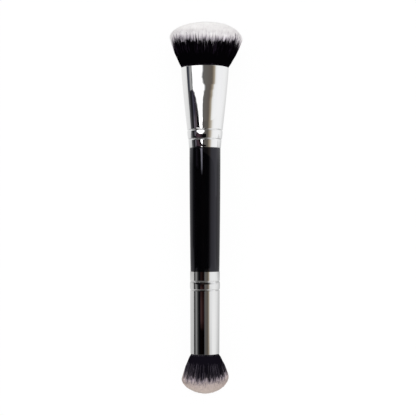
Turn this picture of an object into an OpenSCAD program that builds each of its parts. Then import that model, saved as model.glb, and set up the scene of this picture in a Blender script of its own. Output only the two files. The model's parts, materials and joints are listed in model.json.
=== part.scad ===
// Double-ended makeup brush, lying at rest on its two soft heads.
// Every piece is drawn with the brush upright, its axis on Z and the middle of the
// handle at the origin, and lay_down() then sets it on the surface along Y.

/* [Handle] */
// Length of the lacquered barrel between the two ferrules
handle_len = 54.7; // [40:0.1:90]
// Radius of the barrel at the large ferrule
handle_r_large = 6.9; // [5.5:0.01:8]
// Radius of the barrel at the small ferrule
handle_r_small = 6.43; // [5.5:0.01:8]
// How far the barrel's side bows outward between its two ends
handle_bow = 0.09; // [0:0.01:0.3]
// How far each edge of the barrel is eased inward
edge_ease_r = 0.15; // [0.08:0.01:0.2]
// How far each eased edge runs along the barrel
edge_ease_len = 0.6; // [0.2:0.05:1.5]
// Length of the tenon that enters the large ferrule
large_tenon_len = 12; // [10:0.1:15]
// Length of the tenon that enters the small ferrule
small_tenon_len = 12.5; // [11:0.1:16]
// Chamfer on the end of each tenon
tenon_chamfer = 0.8; // [0.2:0.05:1.5]

/* [Large ferrule] */
// Length of the large ferrule
large_ferrule_len = 35.6; // [30:0.1:50]
// Outer radius of the large ferrule at its mouth
large_mouth_r = 10.6; // [9:0.05:13]
// How far the large ferrule stands proud of the barrel it meets
large_proud = 0.12; // [0.08:0.01:0.25]
// How far the long taper bows outward toward its mouth
large_bow = 0.18; // [0:0.01:0.4]
// Barrel edge to the first crimp
large_crimp_first = 3.65; // [3:0.05:4.5]
// First crimp to second crimp
large_crimp_pitch = 4.1; // [3:0.05:5]

/* [Small ferrule] */
// Length of the small ferrule
small_ferrule_len = 36.3; // [30:0.1:50]
// Outer radius of the small ferrule at its mouth
small_mouth_r = 6.38; // [5.5:0.01:8.5]
// How far the small ferrule stands proud of the barrel it meets
small_proud = 0.15; // [0.1:0.01:0.35]
// Barrel edge to the first crimp
small_crimp_first = 4.3; // [3:0.05:5]
// First crimp to second crimp
small_crimp_pitch = 3.75; // [3:0.05:5]

/* [Ferrule metal] */
// Thickness of the drawn metal
ferrule_wall = 0.45; // [0.4:0.01:0.6]
// Width of each rolled crimp
crimp_width = 0.9; // [0.6:0.05:1.2]
// Depth of each rolled crimp
crimp_depth = 0.2; // [0.05:0.01:0.3]
// How far the band between two crimps swells outward
crimp_swell = 0.12; // [0:0.01:0.15]

/* [Large tuft] */
// Fibre length that shows beyond the large ferrule
large_tuft_len = 20.1; // [17:0.1:30]
// Radius of the large tuft where it is widest
large_tuft_r = 16.2; // [13:0.1:20]
// Mouth of the large ferrule to the widest place
large_tuft_widest = 12.7; // [11:0.1:14]
// Mouth of the large ferrule to the end of the dark dye
large_dye_line = 10; // [8:0.1:12]
// How far the dye runs up and down from that line
large_dye_jag = 1.3; // [0.3:0.05:1.5]
// How much nearer the root the dye ends on top than at the sides, and further below
large_dye_dip = 2.6; // [-3:0.1:3]
// Lean of the large tuft to the side, in degrees
large_lean = 2; // [0:0.1:4]
// Slope of the ring where the large tuft is widest, in degrees
large_slope = 3; // [0:0.1:4]
// How pointed the large dome is: 1 is half an ellipse
large_point = 1; // [0.9:0.01:1.4]
// Number of locks around the large tuft
large_locks = 72; // [40:1:80]

/* [Small tuft] */
// Fibre length that shows beyond the small ferrule
small_tuft_len = 17.8; // [16:0.1:25]
// Radius of the small tuft where it is widest
small_tuft_r = 10.4; // [9:0.1:13]
// Mouth of the small ferrule to the widest place
small_tuft_widest = 10.3; // [9:0.1:12]
// Mouth of the small ferrule to the end of the dark dye
small_dye_line = 10.4; // [8:0.1:12]
// How far the dye runs up and down from that line
small_dye_jag = 1.5; // [0.3:0.05:1.8]
// How much nearer the root the dye ends on top than at the sides, and further below
small_dye_dip = -2; // [-3:0.1:3]
// Lean of the small tuft to the side, in degrees
small_lean = 0.6; // [0:0.1:4]
// Slope of the ring where the small tuft is widest, in degrees
small_slope = 3.6; // [0:0.1:4]
// How pointed the small dome is: 1 is half an ellipse
small_point = 1.2; // [0.9:0.01:1.4]
// Number of locks around the small tuft
small_locks = 54; // [30:1:64]

/* [Fibres and glue] */
// How far the flare of a tuft bulges past a straight cone
flare_bulge_depth = 0.3; // [0:0.01:0.6]
// Depth of the furrows between two locks
furrow_depth = 0.3; // [0.05:0.01:0.4]
// How far the fibre tips stray from a smooth dome
tip_stray = 0.22; // [0:0.01:0.3]
// Length of the resin that holds the roots of the large tuft
large_root_glue_len = 7; // [4:0.1:9]
// Length of the resin that holds the roots of the small tuft
small_root_glue_len = 8; // [4:0.1:9]
// Clearance between whatever sits in a ferrule and its bore
bore_gap = 0.05; // [0.02:0.01:0.1]
// Clearance between the end of a tenon and the resin beyond it
tenon_end_gap = 0.3; // [0.1:0.05:1]
// Barrel edge to the start of the adhesive around the large tenon
tenon_glue_start = 1.6; // [1.4:0.1:2.5]
// How far the soft tufts flatten under the weight of the brush
rest_flat = 0.45; // [0.3:0.05:0.6]
// Height above that flat spot at which furrows and stray tips are fully open again
rest_fade = 1; // [0.5:0.1:2]

/* [Hidden] */

lacquer_colour = [0.03, 0.03, 0.035];
metal_colour = [0.83, 0.84, 0.86];
glue_colour = [0.86, 0.8, 0.62];
dark_fibre_colour = [0.05, 0.04, 0.05];
large_tip_colour = [0.93, 0.91, 0.91];
small_tip_colour = [0.8, 0.73, 0.69];

round_fn = 96;

// Ferrule ends, crimp places and resin places, each measured from the barrel's edge
large_end_r = handle_r_large + large_proud;
small_end_r = handle_r_small + small_proud;
large_crimps = [large_crimp_first, large_crimp_first + large_crimp_pitch];
small_crimps = [small_crimp_first, small_crimp_first + small_crimp_pitch];
large_glue_z = large_tenon_len + tenon_end_gap;
small_glue_z = small_tenon_len + tenon_end_gap;
large_root_z = large_glue_z + large_root_glue_len;
small_root_z = small_glue_z + small_root_glue_len;

// The widest ring of each tuft carries the brush, and the two together set its tilt
large_widest_z = handle_len / 2 + large_ferrule_len + large_tuft_widest;
small_widest_z = handle_len / 2 + small_ferrule_len + small_tuft_widest;
rest_tilt = atan((large_tuft_r - small_tuft_r) / (large_widest_z + small_widest_z));
rest_z = large_tuft_r * cos(rest_tilt) - large_widest_z * sin(rest_tilt) - rest_flat;
rest_x = -large_tuft_widest * tan(large_lean);
rest_y = (dome_reach(small_widest_z, small_tuft_r, small_tuft_len - small_tuft_widest)
    - dome_reach(large_widest_z, large_tuft_r, large_tuft_len - large_tuft_widest)) / 2;

// How far a dome reaches along Y once the brush lies tilted
function dome_reach(widest_z, radius, height) =
    widest_z * cos(rest_tilt) + norm([height * cos(rest_tilt), radius * sin(rest_tilt)]);

function mix(a, b, t) = a + (b - a) * t;

// Inward dip of a rolled crimp, a smooth groove as wide as crimp_width
function crimp_dip(z, centre) =
    abs(z - centre) < crimp_width / 2
        ? crimp_depth * (1 + cos(360 * (z - centre) / crimp_width)) / 2
        : 0;

// Outward swell of the band that two crimps leave between them
function band_swell(z, crimps) =
    z > crimps[0] && z < crimps[1]
        ? crimp_swell * sin(180 * (z - crimps[0]) / (crimps[1] - crimps[0]))
        : 0;

// Outer radius of a ferrule at height z above the barrel's edge
function side_r(z, len, end_r, mouth_r, bow, crimps) =
    mix(end_r, mouth_r, z / len) + 27 / 4 * bow * (z / len) ^ 2 * (1 - z / len)
    + band_swell(z, crimps) - crimp_dip(z, crimps[0]) - crimp_dip(z, crimps[1]);

large_side = function(z)
    side_r(z, large_ferrule_len, large_end_r, large_mouth_r, large_bow, large_crimps);
small_side = function(z)
    side_r(z, small_ferrule_len, small_end_r, small_mouth_r, 0, small_crimps);

// Radius of the bore, and of what sits in it with a clearance
function bore_r(side, z) = side(z) - ferrule_wall;
function seat_r(side, z) = bore_r(side, z) - bore_gap;

// Heights from low to high that follow the crimps closely and the taper evenly
crimp_steps = 5;
band_steps = 4;
taper_steps = 10;
barrel_steps = 10;
function crimp_heights(centre) =
    [for (k = [-crimp_steps:crimp_steps]) centre + crimp_width * k / (2 * crimp_steps)];
function between(low, high, steps) = [for (k = [1:steps - 1]) mix(low, high, k / steps)];
function heights(low, high, crimps) =
    let (half = crimp_width / 2,
         all = concat(
             crimp_heights(crimps[0]),
             between(crimps[0] + half, crimps[1] - half, band_steps),
             crimp_heights(crimps[1]),
             between(crimps[1] + half, max(high, crimps[1] + half), taper_steps)))
    concat([low], [for (z = all) if (z > low + bore_gap && z < high - bore_gap) z], [high]);

// Shares of the way from the dye's end to the dome's tip at which the tips have a ring,
// shares of the way to it that the dark lengths have one, and the seam's inner share
tip_shares = [0.08, 0.17, 0.3, 0.46, 0.64, 0.83];
dark_shares = [0, 0.5];
core_share = 0.7;

function reversed(list) = [for (i = [len(list) - 1:-1:0]) list[i]];

// A thin tube with crimps near the barrel and a rounded lip at its mouth
module ferrule(side, length, crimps) {
    lip = ferrule_wall / 2;
    lip_z = length - lip;
    levels = heights(0, lip_z, crimps);
    outer = [for (z = levels) [side(z), z]];
    inner = [for (z = levels) [bore_r(side, z), z]];
    rounding = [for (a = [15:15:165]) [side(lip_z) - lip + lip * cos(a), lip_z + lip * sin(a)]];
    color(metal_colour)
        rotate_extrude($fn = round_fn)
            polygon(concat(outer, rounding, reversed(inner)));
}

// The eased edge of the barrel, from its side to its end face
function eased_edge(radius) =
    [for (a = [0:18:90]) [radius - edge_ease_r * (1 - cos(a)), edge_ease_len * (sin(a) - 1)]];

// The barrel's side between its eased edges, from the small end to the large end:
// a straight taper with a shallow parabola added
function barrel_side() =
    [for (k = [1:barrel_steps - 1])
        let (s = k / barrel_steps)
        [mix(handle_r_small, handle_r_large, s) + 4 * handle_bow * s * (1 - s),
         handle_len * (s - 1 / 2)]];

// Outline of one end of the handle, from the barrel's side to the tenon's tip
function end_outline(radius, tenon) =
    let (tip = tenon[len(tenon) - 1])
    concat(eased_edge(radius), tenon, [[tip[0] - tenon_chamfer, tip[1] + tenon_chamfer]]);

// One turned piece: a tapered barrel between a straight tenon and a crimped one
module handle() {
    large_tenon_r = seat_r(large_side, 0);
    large_tenon = [[large_tenon_r, 0], [large_tenon_r, large_tenon_len - tenon_chamfer]];
    small_tenon = [for (z = heights(0, small_tenon_len - tenon_chamfer, small_crimps))
        [seat_r(small_side, z), z]];
    half = handle_len / 2;
    large_half = [for (p = end_outline(handle_r_large, large_tenon)) [p[0], p[1] + half]];
    small_half = [for (p = end_outline(handle_r_small, small_tenon)) [p[0], -p[1] - half]];
    color(lacquer_colour)
        rotate_extrude($fn = round_fn)
            polygon(concat(
                [[0, -half - small_tenon_len]], reversed(small_half), barrel_side(),
                large_half, [[0, half + large_tenon_len]]));
}

// Adhesive that fills the wedge between the straight tenon and the tapered bore
module tenon_glue() {
    inner_r = seat_r(large_side, 0) + bore_gap;
    levels = heights(tenon_glue_start, large_tenon_len, large_crimps);
    color(glue_colour)
        rotate_extrude($fn = round_fn)
            polygon(concat(
                [[inner_r, tenon_glue_start]],
                [for (z = levels) [seat_r(large_side, z), z]],
                [[inner_r, large_tenon_len]]));
}

// Resin plug that the roots of a tuft are set in
module root_glue(side, low, high, crimps) {
    color(glue_colour)
        rotate_extrude($fn = round_fn)
            polygon(concat(
                [[0, low]],
                [for (z = heights(low, high, crimps)) [seat_r(side, z), z]],
                [[0, high]]));
}

// A tuft's outline, as radius and height above the mouth: 0 is just past the lip,
// 1 is the widest place, and 2 is the tip of the dome
function tuft_outline(v, lip_r, radius, widest, length, point) =
    v <= 1
        ? [mix(lip_r, radius, v) + 4 * flare_bulge_depth * v * (1 - v), mix(ferrule_wall, widest, v)]
        : [radius * cos(90 * (v - 1)) ^ point, mix(widest, length, sin(90 * (v - 1)))];

large_outline = function(v)
    tuft_outline(v, large_mouth_r, large_tuft_r, large_tuft_widest, large_tuft_len, large_point);
small_outline = function(v)
    tuft_outline(v, small_mouth_r, small_tuft_r, small_tuft_widest, small_tuft_len, small_point);

// The place on that outline which lies at a height above the mouth
function place_at(height, widest, length) =
    height <= widest
        ? (height - ferrule_wall) / (widest - ferrule_wall)
        : 1 + asin((height - widest) / (length - widest)) / 90;

// Leans a point of a tuft to the side, and slopes the ring where the tuft is widest
function leaned(p, lean, slope, widest, length) =
    [p[0] + p[2] * tan(lean), p[1],
     p[2] - p[0] * tan(slope) * min(p[2] / widest, (length - p[2]) / (length - widest))];

// From a point measured at a ferrule's mouth to the brush's own frame
function at_large_end(p) = [p[0], p[1], p[2] + large_ferrule_len + handle_len / 2];
function at_small_end(p) = [p[0], -p[1], -p[2] - small_ferrule_len - handle_len / 2];

// How high a point of the brush lies above the surface that the brush rests on
function height_of(p) = rest_z + p[2] * sin(rest_tilt) - p[1] * cos(rest_tilt);

// Lifts a point that would lie below that surface up to it, as soft fibres give way
function rested(p) =
    height_of(p) < 0 ? [p[0], p[1] + height_of(p) / cos(rest_tilt), p[2]] : p;

// Triangles that close a stack of rings, each with n points, between two end points.
// Each square between two rings is cut along the diagonal that cut_back names.
function stack_faces(n, rings, cut_back) =
    let (first = n * rings, last = first + 1, top = n * (rings - 1))
    concat(
        [for (i = [0:n - 1]) [first, i, (i + 1) % n]],
        [for (k = [0:rings - 2], i = [0:n - 1])
            [k * n + i, (k + 1) * n + i, (cut_back ? k + 1 : k) * n + (i + 1) % n]],
        [for (k = [0:rings - 2], i = [0:n - 1])
            [k * n + (i + 1) % n, (cut_back ? k : k + 1) * n + i, (k + 1) * n + (i + 1) % n]],
        [for (i = [0:n - 1]) [last, top + (i + 1) % n, top + i]]);

// Half of a tuft: the dark lengths from the roots to the dye's ragged end, or the pale
// tips from there to the dome. Locks alternate ridge and furrow around it, and the dye
// runs further up each ridge than up the furrows beside it.
module tuft_half(tips, outline, side, ferrule_len, root_z, radius, widest, length,
                 dye_line, dye_jag, dye_dip, lean, slope, locks, at_end, seed) {
    n = 2 * locks;
    chance = rands(0, 1, n, seed);
    stray = rands(-1, 1, 7 * n, seed + 1);
    dye = place_at(dye_line, widest, length);
    ring = function(i, r, z) [r * cos(360 * i / n), r * sin(360 * i / n), z];
    lean_over = function(p) leaned(p, lean, slope, widest, length);
    // Where the dye ends on lock i
    ragged = function(i)
        dye + (dye_dip * sin(360 * i / n)
               + (i % 2 == 0 ? 1 : -1) * dye_jag * mix(0.25, 1, chance[i])) / widest;
    // A point of the tuft's outside on lock i, with its furrow and the tips' stray ends,
    // both of which close up where the tuft lies on the surface
    skin_point = function(i, place, k)
        let (p = outline(place),
             clear = height_of(at_end(lean_over(ring(i, p[0], p[1])))),
             open = max(0, min(1, clear / rest_fade)),
             furrow = i % 2 == 0 ? 0 : furrow_depth * mix(0.4, 1, chance[i]),
             inward = furrow * min(1, place / 0.2) * min(1, 1.4 * p[0] / radius),
             upward = place > 1 ? tip_stray * stray[k * n + i] * p[0] / radius : 0)
        lean_over(ring(i, p[0] - inward * open, p[1] + upward * open));
    root = root_z - ferrule_len;
    core = outline(dye);
    seam = [for (i = [0:n - 1]) skin_point(i, ragged(i), 0)];
    seam_core = [for (i = [0:n - 1]) lean_over(ring(i, core[0] * core_share, core[1]))];
    seam_centre = lean_over([0, 0, core[1]]);
    rings = tips
        ? concat(
            seam_core, seam,
            [for (k = [0:len(tip_shares) - 1], i = [0:n - 1])
                skin_point(i, mix(ragged(i), 2, tip_shares[k]), k + 1)])
        : concat(
            [for (z = [root, root / 2, 0], i = [0:n - 1]) ring(i, seat_r(side, z + ferrule_len), z)],
            [for (share = dark_shares, i = [0:n - 1]) skin_point(i, ragged(i) * share, 0)],
            seam, seam_core);
    ends = tips ? [seam_centre, lean_over([0, 0, length])] : [[0, 0, root], seam_centre];
    polyhedron(
        points = [for (p = concat(rings, ends)) rested(at_end(p))],
        faces = stack_faces(n, len(rings) / n, tips),
        convexity = 6);
}

module large_tuft_half(tips) {
    tuft_half(tips, large_outline, large_side, large_ferrule_len, large_root_z, large_tuft_r,
              large_tuft_widest, large_tuft_len, large_dye_line, large_dye_jag, large_dye_dip,
              large_lean, large_slope, large_locks, function(p) at_large_end(p), 7);
}

module small_tuft_half(tips) {
    tuft_half(tips, small_outline, small_side, small_ferrule_len, small_root_z, small_tuft_r,
              small_tuft_widest, small_tuft_len, small_dye_line, small_dye_jag, -small_dye_dip,
              small_lean, small_slope, small_locks, function(p) at_small_end(p), 23);
}

// Sets what is drawn from a barrel's edge outward on the large or the small end
module on_large_end() { translate([0, 0, handle_len / 2]) children(); }
module on_small_end() { translate([0, 0, -handle_len / 2]) rotate([180, 0, 0]) children(); }

// Lays the upright brush along Y, on its two heads
module lay_down() { translate([rest_x, rest_y, rest_z]) rotate([rest_tilt - 90, 0, 0]) children(); }

lay_down() handle();
lay_down() on_large_end() ferrule(large_side, large_ferrule_len, large_crimps);  // large_ferrule
lay_down() on_small_end() ferrule(small_side, small_ferrule_len, small_crimps);  // small_ferrule
lay_down() on_large_end() tenon_glue();  // large_tenon_glue
lay_down() on_large_end() root_glue(large_side, large_glue_z, large_root_z, large_crimps);  // large_root_glue
lay_down() on_small_end() root_glue(small_side, small_glue_z, small_root_z, small_crimps);  // small_root_glue
lay_down() color(dark_fibre_colour) large_tuft_half(false);  // large_tuft
lay_down() color(large_tip_colour) large_tuft_half(true);  // large_tuft_tips
lay_down() color(dark_fibre_colour) small_tuft_half(false);  // small_tuft
lay_down() color(small_tip_colour) small_tuft_half(true);  // small_tuft_tips
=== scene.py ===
import json
import math

import bpy
import numpy as np
from mathutils import Matrix


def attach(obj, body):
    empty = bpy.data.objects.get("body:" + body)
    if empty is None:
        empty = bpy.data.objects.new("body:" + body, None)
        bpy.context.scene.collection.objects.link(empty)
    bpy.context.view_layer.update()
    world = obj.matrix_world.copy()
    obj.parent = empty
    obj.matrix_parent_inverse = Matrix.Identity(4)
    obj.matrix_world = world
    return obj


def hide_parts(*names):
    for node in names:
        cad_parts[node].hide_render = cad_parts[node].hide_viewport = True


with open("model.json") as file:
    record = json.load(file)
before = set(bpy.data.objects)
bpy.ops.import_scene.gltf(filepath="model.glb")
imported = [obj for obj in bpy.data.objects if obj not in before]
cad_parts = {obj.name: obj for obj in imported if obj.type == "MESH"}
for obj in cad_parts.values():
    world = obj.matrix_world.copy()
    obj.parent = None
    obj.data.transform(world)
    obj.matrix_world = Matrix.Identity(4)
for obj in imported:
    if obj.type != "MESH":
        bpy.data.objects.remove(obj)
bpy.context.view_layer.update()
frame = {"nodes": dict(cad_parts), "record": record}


# The brush lies on its two heads, so its axis is tilted a little. The handle_grip mount
# gives the middle of the barrel and the way to the large head, and the camera hangs
# square over that axis, with the large head at the top of the picture.
grip = next(mount for mount in frame["record"]["mounts"] if mount["name"] == "handle_grip")
middle = np.array(grip["pos_m"])
to_large = np.array(grip["axis"]) / np.linalg.norm(grip["axis"])
across = np.array([1.0, 0.0, 0.0])
upward = np.cross(across, to_large)

camera_height = 0.4879
camera_back = 0.00832
aim_ahead = 0.00077
camera_aside = 0.00135
camera_lens = 95.2
camera_clip = 0.01

eye = middle + upward * camera_height - to_large * camera_back + across * camera_aside
aim = middle + to_large * aim_ahead + across * camera_aside
backward = (eye - aim) / np.linalg.norm(eye - aim)
camera = bpy.data.objects.new("camera", bpy.data.cameras.new("camera"))
camera.data.lens = camera_lens
camera.data.clip_start = camera_clip
camera.matrix_world = Matrix(np.vstack([
    np.column_stack([across, np.cross(backward, across), backward, eye]),
    [0, 0, 0, 1]]).tolist())
bpy.context.scene.collection.objects.link(camera)
bpy.context.scene.camera = camera
bpy.context.scene.view_settings.view_transform = "Standard"


# The table is one sheet of white paper. What sees it directly sees white, with a trace of
# the brush's own soft shadow. Mirrors see it greyed by painted shade towards the small head,
# with painted shadows under and beside the brush, and a painted dark room on the left.
def add_node(tree, kind, inputs=None, **options):
    """A new shader node. Options are the node's own, and inputs gives each socket, by name
    or number, a value or the output of another node."""
    made = tree.nodes.new("ShaderNode" + kind)
    for name, value in options.items():
        setattr(made, name, value)
    for name, value in (inputs or {}).items():
        if isinstance(value, bpy.types.NodeSocket):
            tree.links.new(value, made.inputs[name])
        else:
            made.inputs[name].default_value = value
    return made


def compute(tree, operation, *values):
    """A Math node's result for its values, each one a number or an output."""
    return add_node(tree, "Math", dict(enumerate(values)), operation=operation).outputs[0]


def blend(tree, factor, first, second, kind="MIX"):
    """Two colours mixed by a factor, or combined in another way, as one output."""
    return add_node(tree, "MixRGB", {0: factor, 1: first, 2: second}, blend_type=kind).outputs[0]


def tone_ramp(tree, factor, stops):
    """A colour ramp from (place, colour) stops, as one output."""
    made = add_node(tree, "ValToRGB", {0: factor})
    band = made.color_ramp
    for count, (place, colour) in enumerate(stops):
        stop = band.elements[count] if count < 2 else band.elements.new(place)
        stop.position = place
        stop.color = (*colour, 1)
    return made.outputs[0]


def greys(*stops):
    """Grey stops for a ramp, from (place, level) pairs."""
    return [(place, (level,) * 3) for place, level in stops]


def seen_straight(tree, path):
    """1 for a ray that comes from the camera, or through something clear."""
    return compute(tree, "MAXIMUM", path.outputs["Is Camera Ray"], path.outputs["Is Transmission Ray"])


# The paper is seen by its own glow, to these shares straight and in a mirror. Its painted
# shade and shadows, seen only in mirrors, run along the brush, on a slant and beside it, at
# so many ramp lengths a metre. Past the edge ramp's value times end_reach to the left,
# mirrors see a painted dark room, which fades in over end_blur of that.
paper_half = 3.0
glow_seen = 0.95
glow_mirrored = 0.96
paper_white = (0.96, 0.96, 0.96, 1)
painted_dark_room = (0.05, 0.05, 0.055, 1)
lane_scale = 4.0
slant_scale = 3.3
beside_scale = 10.0
end_reach = 0.3
end_blur = 0.06

paper = bpy.data.materials.new("white_paper")
paper.use_nodes = True
tree = paper.node_tree
tree.nodes.clear()
path = add_node(tree, "LightPath")
glowing = compute(tree, "MULTIPLY_ADD", path.outputs["Is Glossy Ray"], glow_mirrored,
                  compute(tree, "MULTIPLY", seen_straight(tree, path), glow_seen))
spot = add_node(tree, "SeparateXYZ", {0: add_node(tree, "TexCoord").outputs["Object"]})
aside, along = spot.outputs["X"], spot.outputs["Y"]
lane = compute(tree, "MULTIPLY_ADD", along, lane_scale, 0.5)
# The edge of the painted dark room that mirrors see, as it runs along the brush.
painted_room_edge = tone_ramp(tree, lane, greys(
    (0.23, 0.30), (0.26, 0.39), (0.30, 0.48), (0.34, 0.66), (0.38, 0.60),
    (0.43, 0.14), (0.50, 0.17), (0.58, 0.19), (0.66, 0.34), (0.80, 0.375)))
past_painted_room_edge = compute(tree, "SUBTRACT", compute(tree, "MULTIPLY", aside, -1 / end_reach), painted_room_edge)
slant = compute(tree, "MULTIPLY_ADD", aside, slant_scale, lane)
# Painted shade for mirrors: the paper greys towards the small head and the left.
painted_shade_to_small_end = tone_ramp(tree, slant, greys((0.16, 0.50), (0.36, 0.665), (0.62, 0.81), (0.82, 0.93)))
# Painted shadow for mirrors under the barrel.
painted_shadow_under_barrel = tone_ramp(tree, lane, greys((0.365, 1), (0.40, 0.62), (0.585, 0.62), (0.62, 1)))
# Painted shadow for mirrors beside the brush, on its right.
beside = tone_ramp(tree, compute(tree, "MULTIPLY_ADD", aside, beside_scale, 0.5), greys(
    (0.56, 1), (0.60, 0.80), (0.70, 0.82), (0.78, 0.91), (0.90, 0.97), (1.0, 1)))
painted_barrel_shadow = blend(tree, 1.0, painted_shade_to_small_end, painted_shadow_under_barrel, "MULTIPLY")
painted_paper_shadow = blend(tree, 1.0, painted_barrel_shadow, beside, "MULTIPLY")
# Past the edge, mirrors see a painted dark room instead of paper.
painted_mirror_tone = blend(tree, tone_ramp(tree, past_painted_room_edge, greys((0.0, 0), (end_blur, 1))), painted_paper_shadow, painted_dark_room)
shown = blend(tree, path.outputs["Is Glossy Ray"], (1, 1, 1, 1), painted_mirror_tone)
lit = add_node(tree, "BsdfDiffuse", {"Color": paper_white})
glow = add_node(tree, "Emission", {"Color": shown, "Strength": 1.0})
mixed = add_node(tree, "MixShader", {0: glowing, 1: lit.outputs[0], 2: glow.outputs[0]})
add_node(tree, "OutputMaterial", {"Surface": mixed.outputs[0]})

paper_mesh = bpy.data.meshes.new("table")
paper_mesh.from_pydata([(-paper_half, -paper_half, 0), (paper_half, -paper_half, 0),
                        (paper_half, paper_half, 0), (-paper_half, paper_half, 0)],
                       [], [(0, 1, 2, 3)])
paper_mesh.materials.append(paper)
table = bpy.data.objects.new("table", paper_mesh)
bpy.context.scene.collection.objects.link(table)


# The studio is a white tent that is open and dark over the left side, with a brown wooden
# ceiling above and grey walls past the brush's two ends. Only gloss shows these, each
# tone at its angle from straight up, and for dull surfaces the tent is an even light.
studio_level = 1.12
studio_tones = [
    (-180, (0.90, 0.90, 0.89)), (-97, (0.84, 0.84, 0.85)), (-92, (0.04, 0.04, 0.045)),
    (-80, (0.014, 0.014, 0.015)), (-60, (0.004, 0.004, 0.005)), (-34, (0.003, 0.003, 0.004)),
    (-22, (0.016, 0.010, 0.010)), (-8, (0.014, 0.010, 0.009)), (10, (0.006, 0.006, 0.006)),
    (27, (0.02, 0.02, 0.02)), (35, (0.18, 0.17, 0.16)), (43, (0.42, 0.42, 0.42)),
    (51, (0.62, 0.62, 0.62)), (62, (0.72, 0.72, 0.73)), (90, (0.84, 0.84, 0.85)),
    (180, (0.90, 0.90, 0.89))]

studio = bpy.data.worlds.new("studio")
studio.use_nodes = True
studio.cycles.sampling_method = "NONE"
tree = studio.node_tree
tree.nodes.clear()
split = add_node(tree, "SeparateXYZ", {0: add_node(tree, "TexCoord").outputs["Generated"]})
angle = compute(tree, "ARCTAN2", split.outputs["X"], split.outputs["Z"])
turn = compute(tree, "MULTIPLY_ADD", angle, 1 / math.tau, 0.5)
tent = tone_ramp(tree, turn, [(degrees / 360 + 0.5, tone) for degrees, tone in studio_tones])
endward = compute(tree, "ABSOLUTE", split.outputs["Y"])
end_wall = tone_ramp(tree, endward, [(0.40, (0, 0, 0)), (0.66, (0.16, 0.155, 0.15))])
walled = blend(tree, 1.0, tent, end_wall, "LIGHTEN")
path = add_node(tree, "LightPath")
mirrored = blend(tree, path.outputs["Is Glossy Ray"], (studio_level,) * 3 + (1,), walled)
behind = blend(tree, seen_straight(tree, path), mirrored, (1, 1, 1, 1))
air = add_node(tree, "Background", {"Color": behind, "Strength": 1.0})
add_node(tree, "OutputWorld", {"Surface": air.outputs[0]})
bpy.context.scene.world = studio

# A wide soft box straight above gives the fibres their soft shading.
soft_box = bpy.data.objects.new("soft_box", bpy.data.lights.new("soft_box", "AREA"))
soft_box.data.shape = "DISK"
soft_box.data.size = 0.7
soft_box.data.energy = 1.0
soft_box.location = (0.12, 0.1, 1.0)
soft_box.rotation_euler = (math.radians(-6), math.radians(7), 0)
soft_box.visible_camera = False
soft_box.visible_glossy = False
bpy.context.scene.collection.objects.link(soft_box)


# Cards hang round the brush where only gloss sees them: a bright reflector, boards of
# brown wood with pale screens on their right, and a brown cloth, grey strips and a black
# flag on the left. Each is a thin sheet that glows by itself, placed in millimetres.
mm = 0.001


def hang_card(name, begin, end, tones, levels=greys((0, 1)), strength=1.0):
    """A card between two long edges. begin and end list its corners in millimetres, across,
    along and above the brush's axis. tones runs from begin to end, and levels from the
    first pair of corners to the last."""
    begin, end = np.array(begin, float), np.array(end, float)
    count = len(begin)
    edges = np.concatenate([begin, end]) @ np.stack([across, to_large, upward]) * mm + middle
    step = np.arange(count - 1)
    faces = np.stack([step, step + 1, count + step + 1, count + step], -1)
    place = (begin[:, 1] - begin[0, 1]) / (begin[-1, 1] - begin[0, 1])
    mesh = bpy.data.meshes.new(name)
    mesh.from_pydata(edges.tolist(), [], faces.tolist())
    mesh.uv_layers.new(name="spread").data.foreach_set("uv", np.stack([
        faces >= count, place[faces % count]], -1).astype(np.float32).ravel())
    glow = bpy.data.materials.new(name)
    glow.use_nodes = True
    glow.cycles.emission_sampling = "NONE"
    tree = glow.node_tree
    tree.nodes.clear()
    split = add_node(tree, "SeparateXYZ", {0: add_node(tree, "UVMap", uv_map="spread").outputs[0]})
    toned = blend(tree, 1.0, tone_ramp(tree, split.outputs[0], tones),
                  tone_ramp(tree, split.outputs[1], levels), "MULTIPLY")
    shine = add_node(tree, "Emission", {"Color": toned, "Strength": strength})
    add_node(tree, "OutputMaterial", {"Surface": shine.outputs[0]})
    mesh.materials.append(glow)
    card = bpy.data.objects.new(name, mesh)
    for ray in ("camera", "diffuse", "transmission", "volume_scatter", "shadow"):
        setattr(card, "visible_" + ray, False)
    bpy.context.scene.collection.objects.link(card)


def hang_level_card(name, height, edges, tones, **options):
    """A card at one height, from its left edge to its right. edges lists (along, left,
    right)."""
    hang_card(name, [(left, at, height) for at, left, right in edges],
              [(right, at, height) for at, left, right in edges], tones, **options)


# The reflector. It glows by itself, with a painted pool of lamp light on its narrow part over the
# barrel.
reflector_edges = [
    (17.5, -32.5, -18), (21.5, -33, -18.5), (27.5, -35.5, -18.5), (30.5, -41, -18.5),
    (33.5, -49, -13.5), (37, -57.5, -12.5), (39.5, -65, -11.5), (42.5, -79, -9.5),
    (45, -99, -7), (47, -138, -2), (49.2, -160, 3), (50.5, -165, 4), (53.5, -150, -6),
    (56.5, -149, -11), (59.5, -155, -6), (65, -164, -5.5), (75, -172, -4)]
painted_lamp_levels = [
    (17.5, 0.3), (19.5, 0.9), (21.2, 2.6), (22.7, 3.5), (24.5, 4.1), (29, 4.2), (30.5, 5.6),
    (32, 3), (33.5, 1.5), (36, 1.25)]
lamp_strength = 5.6
near, far = reflector_edges[0][0], reflector_edges[-1][0]
hang_level_card(
    "reflector", 60, reflector_edges,
    greys((0, 0.04), (0.12, 0.14), (0.24, 0.6), (0.34, 1), (0.93, 1), (1, 0.05)),
    levels=greys(*[((at - near) / (far - near), level / lamp_strength) for at, level in painted_lamp_levels]),
    strength=lamp_strength)

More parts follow.
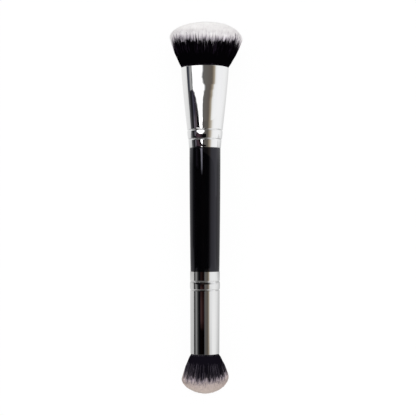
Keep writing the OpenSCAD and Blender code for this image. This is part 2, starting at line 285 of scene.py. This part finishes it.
# The boards and screens. The board over the neck, where the crimps are, is narrow and low.
wood_tones = [
    (0, (0.075, 0.075, 0.09)), (0.08, (0.13, 0.125, 0.115)), (0.30, (0.115, 0.098, 0.085)),
    (0.35, (0.14, 0.12, 0.095)), (0.419, (0.31, 0.26, 0.20)), (0.479, (0.42, 0.37, 0.30)),
    (0.526, (0.68, 0.66, 0.63)), (0.585, (0.84, 0.84, 0.83)), (0.786, (0.93, 0.93, 0.94))]
white_tones = [(0, (0.93, 0.93, 0.94)), (1, (0.93, 0.93, 0.94))]
board_edges = [
    (31.5, 27, 96), (42, 42, 100), (48, 48, 113), (51, 51, 129), (55, 55, 158), (80, 80, 155)]
board_left, board_height = -17, 61
hang_card("board_over_large", [(board_left, at, board_height) for at, end, right in board_edges],
          [(right, end, board_height) for at, end, right in board_edges], wood_tones)
hang_card("screen_by_large", [(right, end, board_height) for at, end, right in board_edges],
          [(right, end, -10) for at, end, right in board_edges], white_tones)
hang_card("board_over_neck", [(-3.6, 26, 20), (-3.6, 37, 20)], [(110, 14, 20), (110, 39, 20)], [
    (0, (0.10, 0.095, 0.09)), (0.078, (0.11, 0.10, 0.085)), (0.092, (0.19, 0.165, 0.125)),
    (0.114, (0.32, 0.27, 0.21)), (0.143, (0.48, 0.43, 0.36)), (0.177, (0.75, 0.73, 0.70)),
    (0.208, (0.83, 0.83, 0.83)), (0.269, (0.90, 0.90, 0.91)), (1, (0.93, 0.93, 0.94))])
hang_card("screen_by_neck", [(110, 8, 20), (110, 42, 20)],
          [(110, 8, -10), (110, 42, -10)], white_tones)

# The glint between the large crimps, and the shade that keeps it short.
hang_level_card(
    "glint_by_crimps", 10,
    [(35.3, -8.8, 0.1), (34.1, -8.4, -0.1), (33.6, -7.2, -0.5), (33.2, -5.6, -1.1), (32.9, -4.2, -1.8)],
    greys((0, 0.15), (0.2, 1), (0.85, 1), (1, 0.3)), strength=1.6)
hang_level_card(
    "shade_by_crimps", 9,
    [(33.0, -9, 0.8), (31.1, -9, 0.8), (30.7, -9, -4.0), (28.3, -9, -1.9), (28.0, -9, 0.8),
     (27.4, -9, 0.8)],
    [(0, (0.02, 0.015, 0.02)), (0.5, (0.06, 0.035, 0.045)), (0.8, (0.003,) * 3), (1, (0.003,) * 3)])

# Over the small ferrule the board ends in a brown cloth on the left.
hang_card("board_over_small", [(-4, -90, 61), (-4, -30, 61)], [(97, -90, 61), (80, -30, 61)],
          wood_tones, greys((0, 0.70), (1, 0.89)))
hang_card(
    "brown_cloth_over_small", [(-46, -90, 61), (-46, -30, 61)], [(-4, -90, 61), (-4, -30, 61)],
    [(0, (0.013, 0.010, 0.012)), (0.30, (0.055, 0.026, 0.026)), (0.52, (0.034, 0.014, 0.012)),
     (0.74, (0.014, 0.006, 0.006)), (1, (0.02, 0.01, 0.01))],
    greys((0, 0.06), (0.51, 0.06), (0.60, 1), (0.74, 0.9), (0.86, 0.4), (1, 0.3)))
hang_card("screen_by_small", [(97, -90, 61), (80, -30, 61)], [(97, -90, -8), (80, -30, -8)],
          greys((0, 0.83), (0.55, 0.86), (0.8, 0.82), (1, 0.77)))

# The upright strips on the left, and the flag past the end of the large ferrule.
hang_card("strip_by_small", [(-60, -90, 0), (-60, -29, 0)], [(-60, -90, 50), (-60, -29, 50)],
          greys((0, 0.02), (0.2, 0.05), (0.48, 0.27), (0.72, 0.08), (1, 0.015)))
hang_card("strip_by_large_mouth", [(-60, 51, 0), (-60, 80, 0)], [(-60, 51, 26), (-60, 80, 26)], [
    (0, (0.03, 0.035, 0.045)), (0.38, (0.05, 0.055, 0.075)), (0.58, (0.27,) * 3),
    (0.8, (0.36,) * 3), (1, (0.42,) * 3)])
strip_edges = [(22, 52), (44, 52), (45.1, 50.5), (47.2, 42), (49.4, 33), (51, 30)]
hang_card(
    "strip_by_large_crimps", [(-60, at, 22) for at, top in strip_edges],
    [(-60, at, top) for at, top in strip_edges],
    [(0, (0.02,) * 3), (0.12, (0.11, 0.10, 0.12)), (0.35, (0.14, 0.13, 0.155)),
     (0.5, (0.06, 0.05, 0.065)), (0.8, (0.09, 0.07, 0.08)), (1, (0.12, 0.10, 0.11))],
    [(0, (1, 1, 1)), (0.37, (1, 1, 1)), (0.54, (0.4, 0.42, 0.5)), (1, (0.4, 0.42, 0.5))])
hang_card("flag", [(-150, 8, 20), (-150, 8.1, 57)], [(0, 8, 20), (0, 8.1, 57)],
          greys((0, 0.003), (1, 0.003)))


# The barrel is one turned piece of birch under black piano lacquer. The lacquer is a
# mirror with the faint waves that sprayed coats keep and a few hairlines from handling.
def blank_material(name, values):
    """A new material with one Principled shader that holds the given values."""
    material = bpy.data.materials.new(name)
    material.use_nodes = True
    shader = material.node_tree.nodes["Principled BSDF"]
    for socket, value in values.items():
        shader.inputs[socket].default_value = value
    return material, material.node_tree, shader


def along_brush(tree, across_rate, along_rate):
    """Object coordinates turned onto the brush's axis, with the pattern's size across and
    along it, both in repeats a metre."""
    tilt = math.atan2(to_large[2], to_large[1])
    place = add_node(tree, "TexCoord").outputs["Object"]
    turned = add_node(tree, "Mapping", {"Vector": place, "Rotation": (-tilt, 0, 0)})
    rates = (across_rate, along_rate, across_rate)
    scaled = add_node(tree, "VectorMath", {0: turned.outputs[0], 1: rates}, operation="MULTIPLY")
    return scaled.outputs[0]


def noise(tree, across_rate, along_rate, detail):
    """Noise stretched along the brush, with its rates in repeats a metre, as one output."""
    place = along_brush(tree, across_rate, along_rate)
    return add_node(tree, "TexNoise", {"Vector": place, "Scale": 1.0, "Detail": detail}).outputs[0]


def link_bump(tree, shader, *layers):
    """Bumps from (height, strength, distance in metres), each laid over the one before."""
    normal = {}
    for height, strength, distance in layers:
        bump = add_node(tree, "Bump", {
            "Height": height, "Strength": strength, "Distance": distance, **normal})
        normal = {"Normal": bump.outputs[0]}
    tree.links.new(normal["Normal"], shader.inputs["Normal"])


lacquer, tree, shader = blank_material("black_lacquer", {
    "IOR": 1.54, "Specular Tint": (0.86, 0.84, 1.0, 1)})
cloud = noise(tree, 160, 60, 3.0)
tree.links.new(tone_ramp(tree, cloud, [
    (0.3, (0.0004, 0.0004, 0.0006)), (0.7, (0.0012, 0.0011, 0.0014))]), shader.inputs["Base Color"])
peel = noise(tree, 420, 260, 1.0)
hairs = noise(tree, 260, 7000, 2.0)
tree.links.new(tone_ramp(tree, hairs, greys((0.55, 0.05), (0.72, 0.10))), shader.inputs["Roughness"])
link_bump(tree, shader, (peel, 0.5, 0.000012))
frame["nodes"]["handle"].material_slots[0].material = lacquer


# Each ferrule is a thin aluminium tube, drawn, polished bright and rolled onto the
# barrel with two crimps. Drawing leaves long faint waves and very fine lines along it.
bright, tree, shader = blank_material("bright_aluminium", {"Metallic": 1.0})
haze = noise(tree, 240, 24, 3.0)
tree.links.new(tone_ramp(tree, haze, [
    (0.35, (0.905, 0.91, 0.915)), (0.65, (0.955, 0.955, 0.95))]), shader.inputs["Base Color"])
lines = noise(tree, 5200, 60, 2.0)
tree.links.new(tone_ramp(tree, lines, greys((0.4, 0.035), (0.7, 0.08))), shader.inputs["Roughness"])
long_waves = noise(tree, 190, 55, 1.5)
link_bump(tree, shader, (lines, 0.3, 0.000002), (long_waves, 0.6, 0.00003))
for name in ("large_ferrule", "small_ferrule"):
    frame["nodes"][name].material_slots[0].material = bright


# The resin inside the ferrules is amber casting resin, poured round the fibre roots and
# spread on the large tenon. It sets slightly cloudy, with small bubbles.
resin, tree, shader = blank_material("amber_resin", {"Roughness": 0.22, "IOR": 1.52})
cloud = noise(tree, 500, 500, 4.0)
tree.links.new(tone_ramp(tree, cloud, [
    (0.3, (0.42, 0.27, 0.10)), (0.7, (0.66, 0.50, 0.26))]), shader.inputs["Base Color"])
bubbles = add_node(tree, "TexVoronoi", {"Vector": along_brush(tree, 1500, 1500), "Scale": 1.0})
link_bump(tree, shader, (bubbles.outputs["Distance"], 0.3, 0.00005))
for name in ("large_tenon_glue", "large_root_glue", "small_root_glue"):
    frame["nodes"][name].material_slots[0].material = resin


# The large head is a flat-topped bundle of soft nylon filaments, set in the resin and
# trimmed to a low dome. They are dyed black to about two thirds of their free length
# and left white at the tips, and each filament's dye ends at its own height.

# Sizes are in millimetres and angles in degrees. end is 1 for the large head and -1 for
# the small one, and mouth is how far the ferrule's mouth is from the brush's middle.
# radius and widest say how wide the widest ring is and how far out, length is the height
# of the dome's top, and point is 1 for a round dome and more for a pointed one. bulge
# rounds the flare, lean tilts the bundle and slope its rim, and lock is the size of a lock
# of filaments. dye_mix is how far one filament's dye strays from its lock's, and dye_end
# says what the rest do.
large_head = {
    "end": 1, "mouth": 62.95, "mouth_r": 10.7, "bore_r": 10.05, "radius": 16.2,
    "widest": 12.7, "length": 20.1, "point": 1.0, "bulge": 0.3, "lean": 2.0, "slope": 3.0,
    "dye_line": 13.1, "dye_rise": -2.6, "dye_tilt": 0.5, "dye_sides": 5.0, "dye_jag": 1.2,
    "dye_mix": 0.8, "lock": 1.0,
}
root_depth = 0.3
grip_reach = 0.6
table_gap = 0.00001
tint_cells = 128
map_edge = 0.001
dye_reach = 14.0
dye_seed = 5
sides = 3


def field(points, wavelength, rng, waves=24):
    """A smooth random height for each point of a plane: the sum of waves that run in random
    directions with random phases, with a spread of 1."""
    finest, broadest = 0.7, 1.6
    heading = rng.uniform(0, math.tau, waves)
    pace = math.tau / (wavelength * rng.uniform(finest, broadest, waves))
    phase = points @ np.stack([np.cos(heading), np.sin(heading)]) * pace \
        + rng.uniform(0, math.tau, waves)
    return np.cos(phase).sum(-1) * math.sqrt(2 / waves)


def dye_end(head, places):
    """Height above the mouth at which the dye ends, for points of the unit disc: dye_line,
    plus dye_tilt times the point's place to the right and dye_rise times its place up,
    less dye_sides times the 16th power of its place aside, and dye_jag times a ragged
    height. That is the sum of a field as fine as a lock and one of groups of locks."""
    lock_share, group_share, group_size, side_power = 0.45, 0.3, 3.3, 16
    rng = np.random.default_rng(dye_seed)
    ragged = field(places * head["radius"], head["lock"], rng) * lock_share \
        + field(places * head["radius"], head["lock"] * group_size, rng) * group_share
    return head["dye_line"] + head["dye_tilt"] * places[..., 0] + head["dye_rise"] * places[..., 1] \
        - head["dye_sides"] * places[..., 0] ** side_power + head["dye_jag"] * ragged


def dye_place(past):
    """Where a distance past the end of the dye lies along the OFBake map, with the end of
    the dye in its middle and dye_reach millimetres to either side."""
    return np.clip(past / (2 * dye_reach) + 0.5, map_edge, 1 - map_edge)


def flare_at(head, step):
    """The flare's radius: straight from the mouth's to the widest ring's as step goes from
    0 to 1, plus a parabola for the bulge."""
    return head["mouth_r"] + (head["radius"] - head["mouth_r"]) * step \
        + 4 * head["bulge"] * step * (1 - step)


def mouth_grip(head, out):
    """How far the ferrule's mouth holds the bundle in: from mouth_r to bore_r at the mouth
    itself, dying away over grip_reach further out."""
    return (head["mouth_r"] - head["bore_r"]) * np.exp(-out / grip_reach)


def into_frame(head, points):
    """From a head's own millimetres, across, up and out from the ferrule's mouth, to metres
    in the shared frame: the bundle leans aside, its rim slopes, and its underside gives way
    where it rests on the table."""
    aside, up, out = points[..., 0], points[..., 1], points[..., 2]
    top = np.clip((head["length"] - out) / (head["length"] - head["widest"]), 0, 1)
    rim = np.minimum(np.clip(out / head["widest"], 0, 1), top)
    leaned = aside + out * math.tan(math.radians(head["lean"]))
    sloped = out - aside * math.tan(math.radians(head["slope"])) * rim
    placed = middle + (leaned[..., None] * across + up[..., None] * upward
                       + head["end"] * (sloped[..., None] + head["mouth"]) * to_large) * mm
    placed[..., 2] = np.maximum(placed[..., 2], table_gap)
    return placed


def mesh_piece(name, points, quads, triangles, corner_uv, material, flip):
    """A mesh object from whole arrays. corner_uv gives each face corner its place on the
    OFBake map, quads first, and flip turns the faces round."""
    if flip:
        quads, triangles = quads[:, ::-1], triangles[:, ::-1]
        quad_corners = quads.size
        corner_uv = np.concatenate([
            corner_uv[:quad_corners].reshape(-1, 4, 2)[:, ::-1].reshape(-1, 2),
            corner_uv[quad_corners:].reshape(-1, 3, 2)[:, ::-1].reshape(-1, 2)])
    corners = np.concatenate([quads.ravel(), triangles.ravel()]).astype(np.int32)
    starts = np.concatenate([np.arange(len(quads)) * 4, quads.size + np.arange(len(triangles)) * 3])
    mesh = bpy.data.meshes.new(name)
    mesh.vertices.add(len(points))
    mesh.vertices.foreach_set("co", points.astype(np.float32).ravel())
    mesh.loops.add(len(corners))
    mesh.loops.foreach_set("vertex_index", corners)
    mesh.polygons.add(len(starts))
    mesh.polygons.foreach_set("loop_start", starts.astype(np.int32))
    mesh.update(calc_edges=True)
    mesh.polygons.foreach_set("use_smooth", np.ones(len(starts), bool))
    mesh.uv_layers.new(name="OFBake").data.foreach_set("uv", corner_uv.astype(np.float32).ravel())
    mesh.materials.append(material)
    piece = bpy.data.objects.new(name, mesh)
    bpy.context.scene.collection.objects.link(piece)
    return piece


def fibre_piece(name, head, places, heights, thickness, tips, rng, material):
    """Closed three-sided filaments. places are their roots on the unit disc, and a filament
    at share s of the radius ends on the dome above s times the widest radius, so its height
    there is that of an ellipse, and tips adds to it. On the way its distance from the axis
    is s times the flare's radius, and its lock draws it a little aside. thickness is a
    filament's radius, which thins towards the end. heights gives each ring's distance back
    from the end, or, where it is below zero, the ring's height as a share of the end's."""
    share = np.hypot(places[:, 0], places[:, 1])
    cosine = np.clip(share, 0, 1) ** (1 / head["point"])
    reach = head["widest"] + (head["length"] - head["widest"]) * np.sqrt(1 - cosine ** 2) + tips
    out = np.where(heights < 0, -heights * reach[:, None], reach[:, None] - heights)
    out[:, 0] = np.where(heights[0] < 0, -root_depth, out[:, 0])
    step = np.clip(out / reach[:, None], 0, 1)
    flare = flare_at(head, step) - mouth_grip(head, np.maximum(out, 0))
    draw = 0.05
    aside = np.stack([
        field(places * head["radius"], head["lock"], rng, waves=16) for _ in range(2)], -1)
    spine = np.concatenate([
        places[:, None] * flare[..., None] + draw * aside[:, None] * step[..., None] ** 3,
        out[..., None]], -1)
    turns = rng.uniform(0, math.tau, (len(places), 1)) + np.arange(sides) * math.tau / sides
    girth = np.stack([np.cos(turns), np.sin(turns), np.zeros_like(turns)], -1)
    thinnest, thinning, taper_length = 0.8, 0.2, 2.5
    taper = thickness[:, None] * np.clip(
        thinnest + thinning * (reach[:, None] - out) / taper_length, thinnest, 1)
    rings = spine[:, :-1, None] + girth[:, None] * taper[:, :-1, None, None]
    count, levels = rings.shape[:2]
    points = np.concatenate([rings.reshape(count, -1, 3), spine[:, -1:]], 1)
    end = sides * levels
    base = np.arange(count)[:, None, None] * (end + 1)
    side = np.arange(sides)
    beside = (side + 1) % sides
    level = np.arange(levels - 1)[:, None] * sides
    quads = np.stack([level + side, level + beside, level + sides + beside, level + sides + side], -1)
    point = np.stack([end - sides + side, end - sides + beside, np.full(sides, end)], -1)
    foot = side[None, ::-1]
    quads = (base + quads.reshape(1, -1, 4)).reshape(-1, 4)
    triangles = (base + np.concatenate([point, foot])[None]).reshape(-1, 3)
    end_of_dye = dye_end(head, places) + rng.normal(0, head["dye_mix"], len(places))
    past = np.concatenate([np.repeat(out[:, :-1], sides, 1), out[:, -1:]], 1) - end_of_dye[:, None]
    lock_tint, fibre_tint = 0.2, 0.15
    tint = 0.5 + lock_tint * field(places * head["radius"], head["lock"], rng) \
        + rng.normal(0, fibre_tint, len(places))
    cell = np.clip(tint * tint_cells, 0, tint_cells - 1).astype(int)[:, None]
    side_lanes, end_lane = [0.15, 0.5, 0.85], 0.5
    lane = np.concatenate([np.tile(side_lanes, levels), [end_lane]])
    uv = np.stack([(cell + lane) / tint_cells, dye_place(past)], -1).reshape(-1, 2)
    corner_uv = np.concatenate([uv[quads.ravel()], uv[triangles.ravel()]])
    return mesh_piece(name, into_frame(head, points).reshape(-1, 3), quads, triangles,
                      corner_uv, material, head["end"] > 0)


def fibre_material(name, gloss, fade, shade, dark, light_hairs_and_sheen, tips):
    """Nylon filaments. Across the OFBake map lies each filament's tint, and along it the
    distance past the end of its dye, so the colour needs nothing else. The dye thins out
    over about three times fade, in millimetres, and shade is the dullest tip's share of
    the full tone."""
    material, tree, shader = blank_material(name, {
        "Roughness": 0.5, "Specular IOR Level": gloss})
    place = add_node(tree, "UVMap", uv_map="OFBake")
    split = add_node(tree, "SeparateXYZ", {0: place.outputs[0]})
    tint, past = split.outputs[0], split.outputs[1]
    # Dark roots with some lighter filaments: partly lighter hairs, partly a painted sheen.
    roots = tone_ramp(tree, tint, [(0.0, dark), (0.50, dark), (0.85, light_hairs_and_sheen), (1.0, dark)])
    dyed = tone_ramp(tree, past, greys(*[
        (dye_place(at * fade), level) for at, level in (
            (-1.6, 0), (-0.6, 0.14), (0.2, 0.6), (1.4, 1))]))
    pale = tone_ramp(tree, past, [(dye_place(at), tone) for at, tone in tips])
    worn = tone_ramp(tree, tint, [(0.0, (shade,) * 3), (0.45, (1, 1, 1)), (1.0, (0.985, 0.98, 0.98))])
    tinted = blend(tree, 1.0, pale, worn, "MULTIPLY")
    tree.links.new(blend(tree, dyed, roots, tinted), shader.inputs["Base Color"])
    return material


def bed_piece(name, head, inset, top_inset, material):
    """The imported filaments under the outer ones, as one closed skin: the head's outline
    turned round the axis, a little inside it. v is 0 at the mouth, 1 at the widest ring and
    2 at the top. Up to the widest ring the outline is that of the filaments' flare, and
    from there an ellipse, whose radius goes with the cosine and height with the sine of the
    same angle. Round the OFBake map lies the angle, and along it the distance past the end
    of the dye."""
    around, levels, top_v = 240, 44, 1.97
    v = np.concatenate([
        np.linspace(0, 1, levels // 2, endpoint=False), np.linspace(1, top_v, levels // 2)])
    rise = np.pi / 2 * (v - 1)
    dome = head["radius"] * np.cos(rise).clip(0, 1) ** head["point"]
    radius = np.where(v <= 1, flare_at(head, v), dome) - inset * np.where(v <= 1, 1, np.cos(rise))
    radius -= mouth_grip(head, v * head["widest"])
    out = np.where(v <= 1, head["widest"] * v,
                   head["widest"] + (head["length"] - top_inset - head["widest"]) * np.sin(rise))
    out[0] = -root_depth
    turn = np.arange(around) * math.tau / around
    unit = np.stack([np.cos(turn), np.sin(turn)], -1)
    points = np.concatenate([radius[:, None, None] * unit, np.broadcast_to(
        out[:, None, None], (levels, around, 1))], -1).reshape(-1, 3)
    points = np.concatenate([points, [[0, 0, out[0]], [0, 0, head["length"] - top_inset]]])
    column = np.arange(around)
    beside = (column + 1) % around
    row = np.arange(levels - 1)[:, None] * around
    quads = np.stack([row + column, row + beside, row + around + beside, row + around + column], -1)
    top = (levels - 1) * around
    bottom_fan = np.stack([beside, column, np.full(around, levels * around)], -1)
    top_fan = np.stack([top + column, top + beside, np.full(around, levels * around + 1)], -1)
    share = np.minimum(radius / head["radius"], 1)
    past = dye_place(out[:, None] - dye_end(head, share[:, None, None] * unit))
    left = np.broadcast_to(column / around, (levels - 1, around))
    right = left + 1 / around
    quad_uv = np.stack([
        np.stack([left, past[:-1]], -1), np.stack([right, past[:-1][:, beside]], -1),
        np.stack([right, past[1:][:, beside]], -1), np.stack([left, past[1:]], -1)], 2)
    fan_uv = np.stack([
        column / around, column / around + 1 / around, column / around + 0.5 / around], -1)
    below = 0.02
    bottom_uv = np.stack([fan_uv[:, [1, 0, 2]], np.full((around, 3), past[0].mean() - below)], -1)
    top_uv = np.stack([fan_uv, np.full((around, 3), past[-1].mean())], -1)
    corner_uv = np.concatenate([quad_uv.reshape(-1, 2), bottom_uv.reshape(-1, 2), top_uv.reshape(-1, 2)])
    return mesh_piece(name, into_frame(head, points), quads.reshape(-1, 4),
                      np.concatenate([bottom_fan, top_fan]), corner_uv, material, head["end"] > 0)


def bed_material(name, dark, tips):
    """The same two tones in streaks: noise that is stretched along the filaments shifts the
    end of the dye, and darkens the skin a little in the same streaks as painted shade between
    the locks."""
    streaks_around, streaks_along, streak_shift = 260, 9, 0.08
    material, tree, shader = blank_material(name, {"Roughness": 0.75, "Specular IOR Level": 0.0})
    place = add_node(tree, "UVMap", uv_map="OFBake")
    stretched = add_node(tree, "VectorMath", {
        0: place.outputs[0], 1: (streaks_around, streaks_along, 1)}, operation="MULTIPLY")
    streaks = add_node(tree, "TexNoise", {
        "Vector": stretched.outputs[0], "Scale": 1.0, "Detail": 2.0}).outputs[0]
    split = add_node(tree, "SeparateXYZ", {0: place.outputs[0]})
    shift = compute(tree, "MULTIPLY_ADD", streaks, streak_shift, -streak_shift / 2)
    past = compute(tree, "ADD", split.outputs[1], shift)
    toned = tone_ramp(tree, past, [(dye_place(at), tone) for at, tone in [(-1.2, dark)] + tips])
    # Painted shade between the locks, from the same streaks.
    shade = tone_ramp(tree, streaks, greys((0.3, 0.95), (0.6, 1)))
    tree.links.new(blend(tree, 1.0, toned, shade, "MULTIPLY"), shader.inputs["Base Color"])
    link_bump(tree, shader, (streaks, 0.3, 0.0002))
    return material


def ring_places(count, inner, rng):
    """Random roots in a ring of the unit disc, from the inner share of the radius to 1."""
    turn = rng.uniform(0, math.tau, count)
    share = np.sqrt(rng.uniform(inner ** 2, 1, count))
    return share[:, None] * np.stack([np.cos(turn), np.sin(turn)], -1)


def stray_tips(count, share, rng):
    """How far each tip stands out of the dome: a share of them by up to longest, in
    millimetres, and the others not at all."""
    longest = 0.35
    return rng.uniform(0, longest, count) * (rng.uniform(0, 1, count) < share)


# The outer filaments run all the way from inside the mouth, and those of the dome start
# where their neighbours hide them.
outer_heights = np.array([-0.001, -0.02, -0.5, 1.2, 0.0])
dome_heights = np.array([3.2, 0.15, 0.0])

white_tips = [
    (0.2, (0.46, 0.42, 0.47)), (1.3, (0.70, 0.67, 0.685)), (2.9, (0.85, 0.83, 0.835)),
    (4.8, (0.90, 0.885, 0.88)), (8.0, (0.97, 0.965, 0.96))]
# The lighter root colour is partly lighter hairs and partly a painted sheen.
white_fibre = fibre_material(
    "black_to_white_nylon", gloss=0.0, fade=1.0, shade=0.98,
    dark=(0.0012, 0.0007, 0.0015), light_hairs_and_sheen=(0.022, 0.015, 0.026), tips=white_tips)
white_bed = bed_material("black_to_white_bed", (0.001, 0.0008, 0.0012), white_tips)

bed = bed_piece("large_fibre_bed", large_head, inset=0.2, top_inset=0.1, material=white_bed)
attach(bed, "root")
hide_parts("large_tuft", "large_tuft_tips")

outer_count, dome_count = 6000, 19500
rng = np.random.default_rng(7)
places = ring_places(outer_count, 0.955, rng)
piece = fibre_piece(
    "large_outer_fibres", large_head, places, outer_heights,
    thickness=rng.uniform(0.045, 0.065, outer_count), tips=rng.normal(0, 0.2, outer_count),
    rng=rng, material=white_fibre)
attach(piece, "root")
for number in (1, 2):
    places = ring_places(dome_count, 0.0, rng)
    stray = stray_tips(dome_count, 0.04, rng)
    piece = fibre_piece(
        f"large_dome_fibres_{number}", large_head, places, dome_heights,
        thickness=rng.uniform(0.055, 0.08, dome_count),
        tips=rng.normal(0.02, 0.04, dome_count) + stray, rng=rng, material=white_fibre)
    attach(piece, "root")


# The small head is the same kind of bundle in a fuller, rounder shape, trimmed to a high
# dome. Its tips are dyed back to beige, and its dye runs higher up the side that faces up.
small_head = {
    "end": -1, "mouth": 63.65, "mouth_r": 6.6, "bore_r": 5.83, "radius": 10.4,
    "widest": 10.3, "length": 17.5, "point": 1.15, "bulge": 0.15, "lean": 0.6, "slope": 3.6,
    "dye_line": 7.8, "dye_rise": 3.4, "dye_tilt": 0.3, "dye_sides": 1.2, "dye_jag": 1.15,
    "dye_mix": 1.05, "lock": 0.6,
}

beige_tips = [
    (0.2, (0.33, 0.28, 0.32)), (1.8, (0.58, 0.49, 0.47)), (5.0, (0.61, 0.52, 0.475)),
    (9.0, (0.62, 0.545, 0.495))]
# The lighter root colour is partly lighter hairs and partly a painted sheen.
beige_fibre = fibre_material(
    "black_to_beige_nylon", gloss=0.05, fade=2.0, shade=0.75,
    dark=(0.005, 0.004, 0.007), light_hairs_and_sheen=(0.11, 0.095, 0.127), tips=beige_tips)
beige_bed = bed_material("black_to_beige_bed", (0.005, 0.004, 0.007), beige_tips)

bed = bed_piece("small_fibre_bed", small_head, inset=0.2, top_inset=0.12, material=beige_bed)
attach(bed, "root")
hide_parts("small_tuft", "small_tuft_tips")

outer_count, dome_count = 4000, 14000
rng = np.random.default_rng(23)
places = ring_places(outer_count, 0.93, rng)
piece = fibre_piece(
    "small_outer_fibres", small_head, places, outer_heights,
    thickness=rng.uniform(0.045, 0.065, outer_count), tips=rng.normal(0, 0.2, outer_count),
    rng=rng, material=beige_fibre)
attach(piece, "root")
stray = stray_tips(dome_count, 0.05, rng)
places = ring_places(dome_count, 0.0, rng)
piece = fibre_piece(
    "small_dome_fibres", small_head, places, dome_heights,
    thickness=rng.uniform(0.05, 0.075, dome_count),
    tips=rng.normal(0.02, 0.06, dome_count) + stray, rng=rng, material=beige_fibre)
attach(piece, "root")
